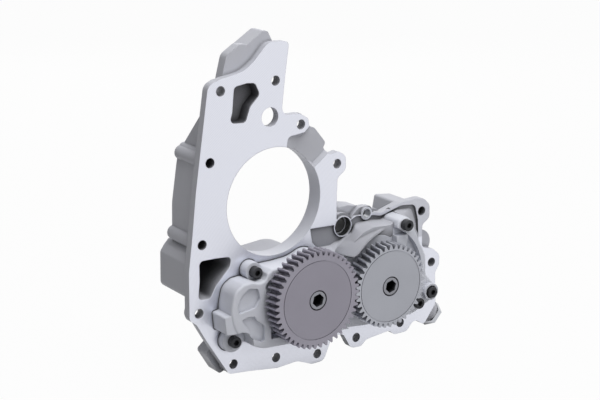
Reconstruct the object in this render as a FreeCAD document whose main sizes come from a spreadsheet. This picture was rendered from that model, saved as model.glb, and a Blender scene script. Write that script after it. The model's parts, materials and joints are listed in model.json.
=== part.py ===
"""Engine oil pump: flange housing, ribbed cover, helical gear pair, rotors and relief valve.

Frame: the origin is the centre of the crank bore on the machined flange face.
+X points right, +Z up and +Y to the rear; the cover and the gears stand in front, at negative Y.
"""
import FreeCAD, Part

import math
import os

from FreeCAD import Placement, Rotation, Vector

doc = FreeCAD.newDocument("oil_pump")
sheet = doc.addObject("Spreadsheet::Sheet", "Sizes")

# Driving sizes in millimetres, teeth and degrees
SIZES = [
    ("flange_thickness", 10.0),
    ("flange_hole_radius", 5.5),
    ("flange_boss_radius", 11.5),
    ("flange_boss_depth", 3.0),
    ("cast_recess", 3.0),
    ("bore_radius", 61.0),
    ("bore_depth", 21.0),
    ("bore_wall", 8.0),
    ("breather_radius", 10.75),
    ("breather_x", -5.1),
    ("breather_z", 94.9),
    ("duct_depth", 62.0),
    ("box_depth", 70.0),
    ("dome_depth", 22.0),
    ("casting_wall", 6.0),
    ("column_radius", 7.9),
    ("rib_thickness", 6.0),
    ("rib_depth", 22.0),
    ("port_radius", 11.2),
    ("port_depth", 34.0),
    ("port_wall", 4.0),
    ("port_x", 93.0),
    ("port_z", -43.7),
    ("port_sleeve_wall", 1.6),
    ("port_sleeve_length", 12.0),
    ("port_sleeve_inset", 10.0),
    ("machined_rim", 1.2),
    ("sleeve_outer_radius", 6.4),
    ("sleeve_length", 10.0),
    ("sleeve_stand", 0.4),
    ("shoulder_height", 20.0),
    ("ridge_height", 36.0),
    ("ridge_inner_radius", 52.0),
    ("ridge_thickness", 2.5),
    ("cover_height", 28.0),
    ("cover_pocket_depth", 4.0),
    ("seat_land", 0.1),
    ("seat_groove_width", 1.1),
    ("seat_groove_depth", 0.8),
    ("gear_recess_depth", 8.0),
    ("right_well_radius", 64.0),
    ("right_well_depth", 8.0),
    ("cover_gap", 0.3),
    ("screw_radius", 4.0),
    ("screw_hole_radius", 4.5),
    ("screw_head_radius", 6.5),
    ("screw_head_height", 8.0),
    ("screw_socket_flats", 6.0),
    ("screw_reach", 12.0),
    ("dowel_radius", 4.0),
    ("dowel_length", 16.0),
    ("gear_module", 2.25),
    ("helix_angle", 15.0),
    ("pressure_angle", 20.0),
    ("drive_teeth", 46),
    ("intermediate_teeth", 40),
    ("gear_width", 20.0),
    ("gear_front", 52.0),
    ("gear_backlash", 0.3),
    ("drive_line_radius", 44.8),
    ("intermediate_line_radius", 41.6),
    ("line_width", 0.7),
    ("line_depth", 0.8),
    ("drive_x", 22.5),
    ("drive_z", -103.5),
    ("intermediate_direction", -1.72),
    ("drive_phase", 0.25),
    ("shaft_radius", 10.5),
    ("shaft_end_hole", 6.6),
    ("shaft_end_depth", 14.0),
    ("seat_gap", 0.02),
    ("running_gap", 0.05),
    ("bush_wall", 2.5),
    ("bush_length", 18.0),
    ("washer_thickness", 3.4),
    ("washer_radius", 17.0),
    ("ring_thickness", 1.5),
    ("rotor_module", 4.5),
    ("rotor_teeth", 11),
    ("rotor_pressure_angle", 28.0),
    ("rotor_backlash", 0.3),
    ("rotor_length", 39.8),
    ("rotor_side_gap", 0.1),
    ("rotor_tip_gap", 0.3),
    ("driven_direction", 185.2),
    ("rotor_case_radius", 41.0),
    ("intermediate_case_radius", 26.0),
    ("intermediate_case_depth", 40.0),
    ("valve_x", 240.5),
    ("valve_z", -183.0),
    ("valve_y", 24.0),
    ("valve_direction", -42.0),
    ("valve_radius", 9.0),
    ("valve_case_radius", 13.5),
    ("valve_depth", 70.0),
    ("piston_length", 24.0),
    ("piston_wall", 2.5),
    ("spring_wire", 2.0),
    ("spring_turns", 7.0),
    ("plug_flats", 27.0),
    ("plug_head_height", 6.0),
    ("plug_thread_length", 14.0),
    ("seal_thickness", 1.5),
    ("gallery_plug_radius", 9.0),
    ("gallery_plug_depth", 5.0),
]

# Centres of the flange bolt holes, as x and z on the machined face
FLANGE_HOLES = {
    "top_left": (-66.5, 129.8),
    "top": (2.3, 133.8),
    "ear_upper": (35.2, 81.8),
    "ear_middle": (84.2, 30.8),
    "left_upper": (-80.7, 54.5),
    "left_middle": (-92.0, -33.8),
    "left_lower": (-97.4, -110.0),
    "bottom_left": (-55.0, -177.5),
    "bottom_one": (1.3, -182.3),
    "bottom_two": (57.9, -190.2),
    "bottom_three": (113.3, -182.3),
    "bottom_right": (178.4, -177.5),
    "right_lower": (224.1, -110.0),
    "right_upper": (207.2, -43.7),
    "sleeve": (126.1, -33.8),
}

# Centres of the cover screws as x and z, with the height of each screw's seat above the flange face
COVER_SCREWS = {
    "screw_upper_left": (-35.3, -70.3, 12.5),
    "screw_lower_left": (-61.0, -146.0, 9.0),
    "screw_upper_right": (160.5, -45.5, 28.0),
    "screw_lower_right": (179.3, -143.3, 28.0),
    "screw_right": (197.5, -132.8, 29.0),
}
# Centres of the two dowels under the cover
COVER_DOWELS = {"dowel_left": (-54.0, -84.0), "dowel_right": (182.0, -100.0)}


def fill_sheet():
    """Write every driving size into the spreadsheet, with its name as alias."""
    rows = list(SIZES)
    for table in (FLANGE_HOLES, COVER_SCREWS, COVER_DOWELS):
        for name, values in table.items():
            rows += [(name + suffix, value) for suffix, value in zip(("_x", "_z", "_seat"), values)]
    for number, (alias, value) in enumerate(rows, start=1):
        sheet.set(f"A{number}", alias)
        sheet.set(f"B{number}", str(value))
        sheet.setAlias(f"B{number}", alias)
    doc.recompute()


def size(alias):
    """Value of a driving size."""
    return float(sheet.get(alias))


def cell(alias):
    """Name of a driving size inside an expression."""
    return "Sizes." + alias


fill_sheet()

# Sizes that follow from the driving sizes
TRANSVERSE_MODULE = size("gear_module") / math.cos(math.radians(size("helix_angle")))
GEAR_DISTANCE = TRANSVERSE_MODULE * (size("drive_teeth") + size("intermediate_teeth")) / 2
ROTOR_DISTANCE = size("rotor_module") * size("rotor_teeth")
DRIVE = (size("drive_x"), size("drive_z"))


def polar(centre, radius, degrees):
    """Point at a distance and a direction from a centre, in the flange's plane."""
    angle = math.radians(degrees)
    return (centre[0] + radius * math.cos(angle), centre[1] + radius * math.sin(angle))


INTERMEDIATE = polar(DRIVE, GEAR_DISTANCE, size("intermediate_direction"))
DRIVEN = polar(DRIVE, ROTOR_DISTANCE, size("driven_direction"))
ROTOR_TIP = size("rotor_module") * (size("rotor_teeth") / 2 + 1)
GEAR_BACK = size("gear_front") - size("gear_width")


def hole(name, dx=0.0, dz=0.0):
    """Point beside a flange hole, cover screw or dowel."""
    return (size(name + "_x") + dx, size(name + "_z") + dz)


# Shapes shared by the castings and the turned pieces

def vertical_sketch(name, front):
    """Sketch whose plane stands upright at a distance to the rear of the flange face."""
    sketch = doc.addObject("Sketcher::SketchObject", name)
    sketch.Placement = Placement(Vector(0, front, 0), Rotation(Vector(1, 0, 0), 90))
    return sketch


def rounded_outline(sketch, corners):
    """Closed outline through corners (x, z, radius); each corner becomes a tangent arc."""
    count = len(corners)
    points = [Vector(corner[0], corner[1], 0) for corner in corners]
    starts, ends, middles = [], [], []
    for index, corner in enumerate(corners):
        point = points[index]
        before = points[index - 1] - point
        after = points[(index + 1) % count] - point
        half = before.getAngle(after) / 2
        room = 0.48 * min(before.Length, after.Length)
        reach = min(corner[2] / math.tan(half), room)
        radius = reach * math.tan(half)
        bisector = (before.normalize() + after.normalize()).normalize()
        starts.append(point + before * reach)
        ends.append(point + after * reach)
        middles.append(point + bisector * (radius / math.sin(half) - radius))
    for index in range(count):
        if corners[index][2] > 0:
            sketch.addGeometry(Part.Arc(starts[index], middles[index], ends[index]), False)
        following = (index + 1) % count
        sketch.addGeometry(Part.LineSegment(ends[index], starts[following]), False)


def prism(name, corners, front, depth):
    """Straight block with a rounded outline, from a front plane to the rear."""
    sketch = vertical_sketch(name + "_outline", front)
    rounded_outline(sketch, corners)
    block = doc.addObject("Part::Extrusion", name)
    block.Base = sketch
    block.DirMode = "Custom"
    block.Dir = Vector(0, 1, 0)
    block.Solid = True
    block.setExpression("LengthFwd", str(depth))
    return block


def post(name, centre, front, depth, radius):
    """Round post or hole along Y; the sizes are expressions."""
    cylinder = doc.addObject("Part::Cylinder", name)
    cylinder.Placement = Placement(Vector(0, 0, 0), Rotation(Vector(1, 0, 0), -90))
    for axis, value in zip("xyz", (centre[0], front, centre[1])):
        cylinder.setExpression("Placement.Base." + axis, str(value))
    cylinder.setExpression("Height", str(depth))
    cylinder.setExpression("Radius", str(radius))
    return cylinder


def at(name):
    """Place of a hole, screw or dowel as expressions."""
    return (cell(name + "_x"), cell(name + "_z"))


def fuse(name, shapes):
    """Joined solid of several shapes."""
    joined = doc.addObject("Part::MultiFuse", name)
    joined.Shapes = shapes
    joined.Refine = True
    return joined


def cut(name, base, tools):
    """Base shape less several tools."""
    result = doc.addObject("Part::Cut", name)
    result.Base = base
    result.Tool = fuse(name + "_tools", tools) if len(tools) > 1 else tools[0]
    result.Refine = True
    return result


def soften(name, base, radius, wanted):
    """Fillet on each edge that the test picks."""
    doc.recompute()
    numbers = [number for number, edge in enumerate(base.Shape.Edges, start=1) if wanted(edge)]
    fillet = doc.addObject("Part::Fillet", name)
    fillet.Base = base
    fillet.Edges = [(number, radius, radius) for number in numbers]
    return fillet


def lies_at(edge, y):
    """True for an edge that lies whole in an upright plane."""
    box = edge.BoundBox
    return abs(box.YMin - y) < 0.01 and abs(box.YMax - y) < 0.01


# Pump housing

def flange_outline():
    """Edge of the flange, clockwise from the top, with the ears set out from their holes."""
    top = [(-7, 176, 14), (20, 175, 5), (15, 140, 60), (9.5, 94.5, 9)]
    ears = [
        (*hole("ear_upper", -1.5, 12.5), 5), (*hole("ear_upper", 9.5, 6), 5),
        (*hole("ear_upper", 11, -3), 3),
        (57, 74.5, 4), (72, 56, 4), (68.5, 50.5, 3), (*hole("ear_middle", -10, 11.8), 2),
        (*hole("ear_middle", 2, 14), 5), (*hole("ear_middle", 12, 8), 9),
        (*hole("ear_middle", 12, -8), 7), (84.5, 14, 8),
    ]
    lip = [
        (84.5, -37.5, 2), (*hole("sleeve", -22, -3.5), 5), (*hole("sleeve", -8, 8), 7),
        (*hole("sleeve", 8, 8), 6), (136, -33, 6), (147, -36.5, 14), (174, -28.5, 25),
    ]
    right = [
        (*hole("right_upper", 2, 16.5), 15), (*hole("right_upper", 12, 6), 9),
        (*hole("right_upper", 12, -10), 7), (*hole("right_upper", 1.5, -17), 6),
        (*hole("right_lower", -15, 21), 6), (*hole("right_lower", 2, 16.5), 8),
        (*hole("right_lower", 12.5, 7), 9), (*hole("right_lower", 11.5, -6), 6),
        (*hole("right_lower", 6, -14), 8), (232, -164, 6), (214.5, -187.5, 5),
        (*hole("bottom_right", 21, 0.5), 8), (*hole("bottom_right", 10, -13), 9),
        (*hole("bottom_right", -9, -13), 8), (162, -184, 8),
    ]
    bottom = [
        (*hole("bottom_three", 15, -5.5), 8), (*hole("bottom_three", 7, -12.5), 8),
        (*hole("bottom_three", -7.5, -11.5), 8), (94.5, -174, 7), (79, -173, 8),
        (*hole("bottom_two", 9, -10.5), 9), (*hole("bottom_two", -7.5, -11), 8), (30, -193, 20),
        (*hole("bottom_one", 2, -13), 20), (-34, -190.5, 20), (*hole("bottom_left", -6, -10.5), 7),
        (-89, -143, 60), (-101, -122, 6),
    ]
    left = [
        (*hole("left_lower", -12, -6), 8), (-109, -62, 60), (-104, -24, 80), (-98.5, 25, 80),
        (-90, 82, 80), (*hole("top_left", -15, 8), 11), (*hole("top_left", 2, 13), 14),
        (-38, 147.5, 40), (-24, 158, 25),
    ]
    return top + ears + lip + right + bottom + left


UPPER_WINDOW = [
    (-50, 132.5, 5), (-34, 135, 6), (-23.5, 134, 5), (-17.5, 121, 6), (-30, 109, 12), (-36, 92.5, 5),
    (-56, 93.5, 5), (-52.5, 106, 8),
]
LOWER_WINDOW = [
    (-96, -51.5, 5), (-76, -51.5, 12), (-55.5, -53, 5), (-58, -64, 8), (-76.5, -83, 20), (-83, -95.5, 5),
    (-98, -95, 5), (-96, -74, 20),
]


def rear_ducts():
    """Closed ducts and bosses cast behind the left half of the flange."""
    inside = size("flange_thickness") - 0.5
    duct = prism("left_duct", [
        (-82, 66, 7), (-62, 64, 8), (-69, 0, 60), (-70, -46, 4), (-94, -46, 4), (-93, 0, 60),
        (-86.5, 42, 30),
    ], inside, cell("duct_depth") + f" - {inside}")
    box = prism("lower_box", [
        (-93.5, -42.5, 3), (-49, -45.5, 8), (-50, -62, 8), (-72, -88, 12), (-78, -103, 8),
        (-105.5, -95.5, 8), (-104.8, -56, 6), (-99.5, -48.5, 5),
    ], inside, cell("box_depth") + f" - {inside}")
    dome = prism("dome", [
        (-64, 88, 8), (-62, 130, 10), (-58, 146, 12), (-53, 165, 10), (-36, 175.5, 8), (-14, 172, 8),
        (-8, 118, 12), (-26, 86, 10),
    ], inside, cell("dome_depth") + f" - {inside}")
    gusset = doc.addObject("Part::Wedge", "gusset")
    gusset.Placement = Placement(Vector(0, 0, 63), Rotation(Vector(1, 0, 0), 90))
    gusset.Xmin, gusset.Xmax, gusset.X2min, gusset.X2max = -77.2, -62.0, -76.7, -62.0
    gusset.Ymin, gusset.Ymax = 0.0, 50.0
    gusset.Zmin, gusset.Z2min, gusset.Z2max = -size("duct_depth"), -14.0, -inside
    gusset.Zmax = -inside
    top_block = prism("top_block", [
        (-27, 156, 2), (-30, 172.5, 3), (-7, 187, 4), (-1.5, 186.5, 3), (6, 172, 3), (6, 150, 2),
    ], inside, 23.5)
    lug = prism("lower_lug", [
        (-72, -155, 3), (-82.6, -163.8, 4), (-66, -191, 4), (-53, -185, 3),
    ], 13.0, 20.0)
    bridge = prism("lug_bridge", [
        (-74, -149, 2), (-78, -161, 2), (-61, -187, 2), (-49, -179, 2),
    ], inside, 12.0)
    columns = [
        post("column_" + name, at(name), inside, f"{cell('duct_depth')} - {inside}", cell("column_radius"))
        for name in ("left_upper", "left_middle")
    ]
    return [duct, box, dome, gusset, top_block, lug, bridge] + columns


def rear_cases():
    """Cases of the rotors, the right shaft and the relief valve, with the wall of the crank bore."""
    inside = size("flange_thickness") - 0.5
    depth = f"{cell('duct_depth')} - {inside}"
    radius = size("rotor_case_radius")
    drive_case = post("drive_case", DRIVE, inside, depth, cell("rotor_case_radius"))
    driven_case = post("driven_case", DRIVEN, inside, depth, cell("rotor_case_radius"))
    between = prism("case_middle", [
        (DRIVEN[0], DRIVEN[1] + radius, 0), (DRIVE[0], DRIVE[1] + radius, 0),
        (DRIVE[0], DRIVE[1] - radius, 0), (DRIVEN[0], DRIVEN[1] - radius, 0),
    ], inside, depth)
    bosses = [
        post(name, centre, size("duct_depth") - 0.5, "8.5", "19")
        for name, centre in (("drive_boss", DRIVE), ("driven_boss", DRIVEN))
    ]
    right_case = post("intermediate_case", INTERMEDIATE, inside,
                      f"{cell('intermediate_case_depth')} - {inside}", cell("intermediate_case_radius"))
    bore_wall = post("bore_wall", (0, 0), inside, f"{cell('bore_depth')} - {inside}",
                     f"{cell('bore_radius')} + {cell('bore_wall')}")
    ear_block = prism("ear_block", [
        (42, 74, 4), (56, 73, 4), (71, 55.5, 4), (67.5, 50, 3), (72, 42, 3), (60, 30, 3), (40, 52, 3),
    ], inside, 7.0)
    valve_case = doc.addObject("Part::Cylinder", "valve_case")
    valve_case.Placement = valve_placement(-size("valve_depth") - 8)
    valve_case.setExpression("Height", cell("valve_depth") + " + 8")
    valve_case.setExpression("Radius", cell("valve_case_radius"))
    right_duct = prism("right_duct", [
        (180.5, -54, 2), (184.5, -33.5, 3), (213, -37, 8), (214, -104, 8), (181, -104, 8),
    ], inside, depth)
    right_boss = post("right_boss", (212.5, -86), inside, "14", "16")
    gallery = prism("valve_gallery", [
        (150, -100, 6), (205, -100, 6), (218, -150, 10), (190, -160, 10), (140, -130, 10),
    ], inside, 26.0)
    shoulder = prism("rear_shoulder", [
        (84.6, -60, 0), (84.6, -38.5, 3), (95, -24, 4), (107, -23, 5), (119, -25.5, 8), (133, -32, 6),
        (142, -32, 5), (151, -35.5, 5), (158, -42, 3), (158, -60, 0),
    ], inside, 20.5)
    return [drive_case, driven_case, between, right_case, bore_wall, ear_block, valve_case,
            right_duct, right_boss, gallery, shoulder] + bosses


def valve_placement(distance):
    """Place on the relief valve's axis, measured outwards from the plug's seat."""
    angle = math.radians(size("valve_direction"))
    direction = Vector(math.cos(angle), 0, math.sin(angle))
    seat = Vector(size("valve_x"), size("valve_y"), size("valve_z"))
    return Placement(seat + direction * distance, Rotation(Vector(0, 0, 1), direction))


def rear_ribs():
    """Stiffening ribs between the cases and the edge of the flange."""
    inside = size("flange_thickness") - 0.5
    runs = {
        "rib_bottom_one": (hole("bottom_one"), DRIVEN),
        "rib_bottom_two": (hole("bottom_two"), DRIVE),
        "rib_bottom_left": (hole("bottom_left"), DRIVEN),
        "rib_bottom_three": (hole("bottom_three"), INTERMEDIATE),
        "rib_top": (hole("top"), (-4.0, size("breather_z") + size("breather_radius") + 3)),
        "rib_sleeve": (hole("sleeve"), INTERMEDIATE),
        "rib_top_left": (hole("top_left"), (-40, 52)),
    }
    ribs = []
    for name, (start, end) in runs.items():
        along = Vector(end[0] - start[0], end[1] - start[1], 0).normalize()
        clear = size("flange_boss_radius") - 1.5
        start = (start[0] + along.x * clear, start[1] + along.y * clear)
        side = Vector(-along.y, along.x, 0) * (size("rib_thickness") / 2)
        corners = [
            (start[0] + side.x, start[1] + side.y, 0), (end[0] + side.x, end[1] + side.y, 0),
            (end[0] - side.x, end[1] - side.y, 0), (start[0] - side.x, start[1] - side.y, 0),
        ]
        ribs.append(prism(name, corners, inside, f"{cell('rib_depth')} - {inside}"))
    return ribs


def between(first, second, share):
    """Corners that lie part of the way from one outline to another."""
    return [
        tuple(start + (end - start) * share for start, end in zip(*pair)) for pair in zip(first, second)
    ]


def loft(name, outlines):
    """Solid through several outlines, each given with its distance to the rear of the flange face."""
    sections = []
    for number, (front, corners) in enumerate(outlines, start=1):
        sketch = vertical_sketch(f"{name}_section_{number}", front)
        rounded_outline(sketch, corners)
        sections.append(sketch)
    solid = doc.addObject("Part::Loft", name)
    solid.Sections = sections
    solid.Solid = True
    solid.Ruled = True
    return solid


def front_shoulder():
    """Cast shoulder that rises from the flange to the crest above the right gear."""
    foot = [
        (52, -62, 4), (76, -63, 6), (84, -60.5, 6), (104, -57, 8), (111, -43, 8), (128, -41.5, 10),
        (147, -44, 10), (172, -35.5, 14), (196, -38, 10), (204, -60, 14), (206, -100, 10), (150, -140, 1),
        (60, -140, 1),
    ]
    crest = [
        (66, -76, 3), (81, -73, 4), (87.2, -65.6, 5), (96, -56, 8), (107, -48.5, 8), (122, -44.5, 10),
        (146, -46, 8), (158, -39, 6), (172, -41, 8), (186, -62, 10), (190, -100, 8), (150, -135, 1),
        (66, -135, 1),
    ]
    height = size("shoulder_height")
    rise = [(-0.2, 0.0), (0.04, 0.42), (0.25, 0.74), (0.6, 0.93), (1.0, 1.0)]
    return loft("front_shoulder", [(-height * part, between(foot, crest, share)) for part, share in rise])


# Ridge above the right gear: direction from the gear's axis, drop below the full height, and distance outwards
RIDGE_CREST = [
    (146, 0.0, 0.0), (138, 0.0, 0.0), (130, 0.0, 0.0), (121, 1.5, 0.0), (112, 4.0, 0.0), (104, 6.5, 0.0),
    (96, 9.5, 0.4), (88, 12.0, 1.4), (82, 14.0, 3.6), (76, 15.4, 6.2),
]


def gear_ridge():
    """Ridge that guards the upper left of the right gear; its crest falls towards the screw pad."""
    crease = -size("shoulder_height") + 1
    sections = []
    for number, (degrees, drop, outwards) in enumerate(RIDGE_CREST, start=1):
        height = size("ridge_height") - drop
        inner = size("ridge_inner_radius") + outwards
        outer = inner + size("ridge_thickness")
        profile = [
            (inner, 4), (inner, -height), (outer, 0.8 - height), (outer + 1.8, crease), (outer + 3, 4),
        ]
        points = []
        for radius, depth in profile:
            x, z = polar(INTERMEDIATE, radius, degrees)
            points.append(Vector(x, depth, z))
        section = doc.addObject("Part::Feature", f"ridge_section_{number}")
        section.Shape = Part.makePolygon(points + points[:1])
        sections.append(section)
    ridge = doc.addObject("Part::Loft", "gear_ridge")
    ridge.Sections = sections
    ridge.Solid = True
    ridge.Ruled = True
    return ridge


def cover_outline(gap=0.0):
    """Edge of the cover on the flange face; a gap widens it for the clearance in the housing."""
    radius = 46.0
    left = [(*polar(DRIVEN, 48.4, angle), radius) for angle in (150, 184, 222, 260)]
    bottom = [
        (25, -159, 12), (70, -156, 20), (110, -160, 20), (150, -160, 12),
        (*hole("screw_lower_right", -2, -13), 9), (*hole("screw_right", 3, -13), 10),
    ]
    right = [
        (*hole("screw_right", 11 + gap, 4), 8), (193.5 + gap, -112, 10), (192.5 + gap, -88, 20),
        (183 + gap, -70, 20), (*hole("screw_upper_right", 12 + gap, -2), 10),
        (*hole("screw_upper_right", 6, 8.5 + gap), 7), (*hole("screw_upper_right", -8 - gap, 6 + gap), 5),
        (149.8 - gap, -46, 4), (148.5 - gap, -62, 3),
    ]
    rim = size("ridge_inner_radius") - 1 + gap
    reach = rim / math.cos(math.radians(16))
    well = [(*polar(INTERMEDIATE, reach, angle), rim) for angle in (76, 108, 138)]
    near_bore = size("bore_radius") + 6 - gap
    middle = [(64, -73 + gap, 3)]
    bore = [(*polar((0, 0), near_bore * 1.0002, angle), 40) for angle in (-56, -76, -96)]
    ear = [
        (-58, -77.2, 10), (*hole("screw_upper_left", -11, -6), 8), (*hole("screw_upper_left", -2.5, -9), 4),
        (*hole("screw_upper_left", 5, -7), 4), (*hole("screw_upper_left", 8.2, 0), 3), (-21.5, -66.6, 4),
    ]
    # The corners run clockwise: ear, edge by the bore, well, pad, bottom and left arc
    return ear + bore[::-1] + middle + well[::-1] + right[::-1] + bottom[::-1] + left[::-1]


COVER_LUG = [(-81, -111, 2), (-66, -108, 0), (-66, -132, 0), (-79, -131, 2)]
COVER_EARS = {"screw_upper_left": 10.3, "screw_lower_left": 13.0, "screw_right": 10.0}


def widened(corners, gap):
    """Corners of an outline moved outwards by the same gap on every side."""
    following = corners[1:] + corners[:1]
    previous = corners[-1:] + corners[:-1]
    turn = math.copysign(1.0, sum(a[0] * b[1] - b[0] * a[1] for a, b in zip(corners, following)))
    moved = []
    for last, here, coming in zip(previous, corners, following):
        arriving = Vector(here[0] - last[0], here[1] - last[1], 0).normalize()
        leaving = Vector(coming[0] - here[0], coming[1] - here[1], 0).normalize()
        first = Vector(arriving.y, -arriving.x, 0) * turn
        second = Vector(leaving.y, -leaving.x, 0) * turn
        shift = (first + second) * (gap / (1 + first.dot(second)))
        outwards = arriving.cross(leaving).z * turn > 0
        radius = max(here[2] + (gap if outwards else -gap), 0.0)
        moved.append((here[0] + shift.x, here[1] + shift.y, radius))
    return moved


def cover_foot(name, gap, depth):
    """Block under the cover's foot, wider than the foot by the gap on every side."""
    plate = prism(name + "_plate", widened(cover_outline(), gap), -2.0, 2.0 + depth)
    lug = prism(name + "_lug", widened(COVER_LUG, gap), -2.0, 2.0 + depth)
    ears = [
        post(f"{name}_{screw}", at(screw), -2, f"{2 + depth}", f"{radius + gap}")
        for screw, radius in COVER_EARS.items()
    ]
    return fuse(name, [plate, lug] + ears)


def seat_groove():
    """Shallow groove round the cover's foot, which sets the joint face apart from the cover's seat."""
    depth = size("seat_groove_depth")
    land = size("seat_land")
    outside = cover_foot("groove_outside", land + size("seat_groove_width"), depth)
    return cut("seat_groove", outside, [cover_foot("groove_inside", land, depth + 1.0)])


def pump_housing():
    """One casting: flange, crank bore, ducts, cases, shoulder, ridge and oil port."""
    thickness = cell("flange_thickness")
    web = prism("flange", flange_outline(), 0.0, thickness)
    bosses = [
        post("boss_" + name, at(name), size("flange_thickness") - 0.5, cell("flange_boss_depth"),
             cell("flange_boss_radius"))
        for name in FLANGE_HOLES if name not in ("left_upper", "left_middle", "sleeve")
    ]
    solid = fuse("housing_solid", [web] + bosses + rear_ducts() + rear_cases() + rear_ribs())

    recess = size("cast_recess")
    ear_edge = [
        (18, 70, 6), (40, 72.5, 3), (48, 80, 1), (90, 84, 1), (90, 48, 1), (71.5, 44.5, 2),
        (52, 30, 1), (16, 52, 1),
    ]
    ear_floor = [
        (33, 66, 5), (42, 69, 4), (50, 77, 1), (90, 80, 1), (90, 50, 1), (70, 47.5, 2),
        (54, 35, 1), (31, 50, 1),
    ]
    ear_recess = loft("ear_recess", [(-1.0, ear_edge), (0.6, ear_edge), (recess + 2.5, ear_floor)])
    shoulder_recess = prism("shoulder_recess", [
        (47.8, -39.2, 0.5), (84, -40.3, 3), (99, -39.8, 6), (112, -34.5, 8), (137, -37.5, 6),
        (147, -40, 14), (176, -32, 20), (197, -34, 8), (202, -54, 8), (204, -100, 8), (150, -140, 0),
        (80, -90, 0), (58, -64, 6), (50.5, -55.5, 2),
    ], -1.0, 1.0 + recess)
    rear_relief = prism("rear_relief", [
        (84, -34, 0), (160, -34, 0), (160, 0, 0), (84, 0, 0),
    ], -1.0, 1.0 + recess)
    plate = cut("housing_plate", solid, [ear_recess, shoulder_recess, rear_relief, seat_groove()])

    cover_space = prism("cover_space", cover_outline(size("cover_gap")), -90.0, 90.0)
    raised = fuse("front_raised", [front_shoulder(), gear_ridge()])
    shoulder = cut("housing_shoulder", raised, [cover_space])
    rim = " + " + cell("machined_rim")
    collar = post("sleeve_collar", at("sleeve"), 0, thickness, cell("sleeve_outer_radius") + rim)
    port_collar = post("port_collar", at("port"), 0, thickness, cell("port_radius") + rim)
    port_wall = post("port_wall", at("port"), cell("cast_recess"), f"{cell('port_depth')} - {cell('cast_recess')}",
                     f"{cell('port_radius')} + {cell('port_wall')}")
    body = fuse("housing_body", [plate, shoulder, collar, port_collar, port_wall])

    behind = 200.0
    tools = [
        post("crank_bore", (0, 0), -60, f"{behind}", cell("bore_radius")),
        post("breather", at("breather"), -1, f"{behind}", cell("breather_radius")),
        post("port_bore", at("port"), -60, f"{cell('port_depth')} + 60", cell("port_radius")),
        prism("upper_window", UPPER_WINDOW, -1.0, f"{cell('dome_depth')} - {cell('casting_wall')} + 1"),
        prism("lower_window", LOWER_WINDOW, -1.0, f"{cell('box_depth')} - {cell('casting_wall')} + 1"),
        post("drive_pocket", DRIVE, -1, f"{pocket_depth()} + 1", f"{ROTOR_TIP} + {cell('rotor_tip_gap')}"),
        post("driven_pocket", DRIVEN, -1, f"{pocket_depth()} + 1",
             f"{ROTOR_TIP} + {cell('rotor_tip_gap')}"),
    ]
    tools += [
        post("bolt_hole_" + name, at(name), -1, f"{behind}", cell("flange_hole_radius"))
        for name in FLANGE_HOLES if name != "sleeve"
    ]
    tools.append(post("sleeve_hole", at("sleeve"), -1, f"{behind}", cell("sleeve_outer_radius")))
    bush_hole = f"{cell('shaft_radius')} + {cell('bush_wall')}"
    tools += [
        post("drive_rear_hole", DRIVE, 10, "100", bush_hole),
        post("driven_rear_hole", DRIVEN, 10, "100", bush_hole),
        post("intermediate_rear_hole", INTERMEDIATE, -1, "100", bush_hole),
    ]
    tools += [
        post("tapped_" + name, at(name), -1, f"{cell('screw_reach')} + 3", cell("screw_radius"))
        for name in COVER_SCREWS
    ]
    tools += [
        post("seat_" + name, at(name), -1, f"{cell('dowel_length')} / 2 + 1", cell("dowel_radius"))
        for name in COVER_DOWELS
    ]
    valve_bore = doc.addObject("Part::Cylinder", "valve_bore")
    valve_bore.Placement = valve_placement(-size("valve_depth"))
    valve_bore.setExpression("Height", cell("valve_depth") + " + 20")
    valve_bore.setExpression("Radius", cell("valve_radius"))
    tools.append(valve_bore)
    tools += [
        post("gallery_mouth_" + name, place, f"{cell(depth)} - {cell('casting_wall')}", "60",
             cell("gallery_plug_radius"))
        for name, (place, depth) in GALLERY_PLACES.items()
    ]
    return cut("pump_housing", body, tools)


# Rear mouths of the drilled galleries, each with the size that gives the wall it lies in
GALLERY_PLACES = {"left": ((-80.0, -66.0), "box_depth"), "right": ((198.0, -58.0), "duct_depth")}


def pocket_depth():
    """Depth of the rotor pocket behind the flange face."""
    return f"({cell('rotor_length')} + 2 * {cell('rotor_side_gap')})"


# Pump cover

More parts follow.
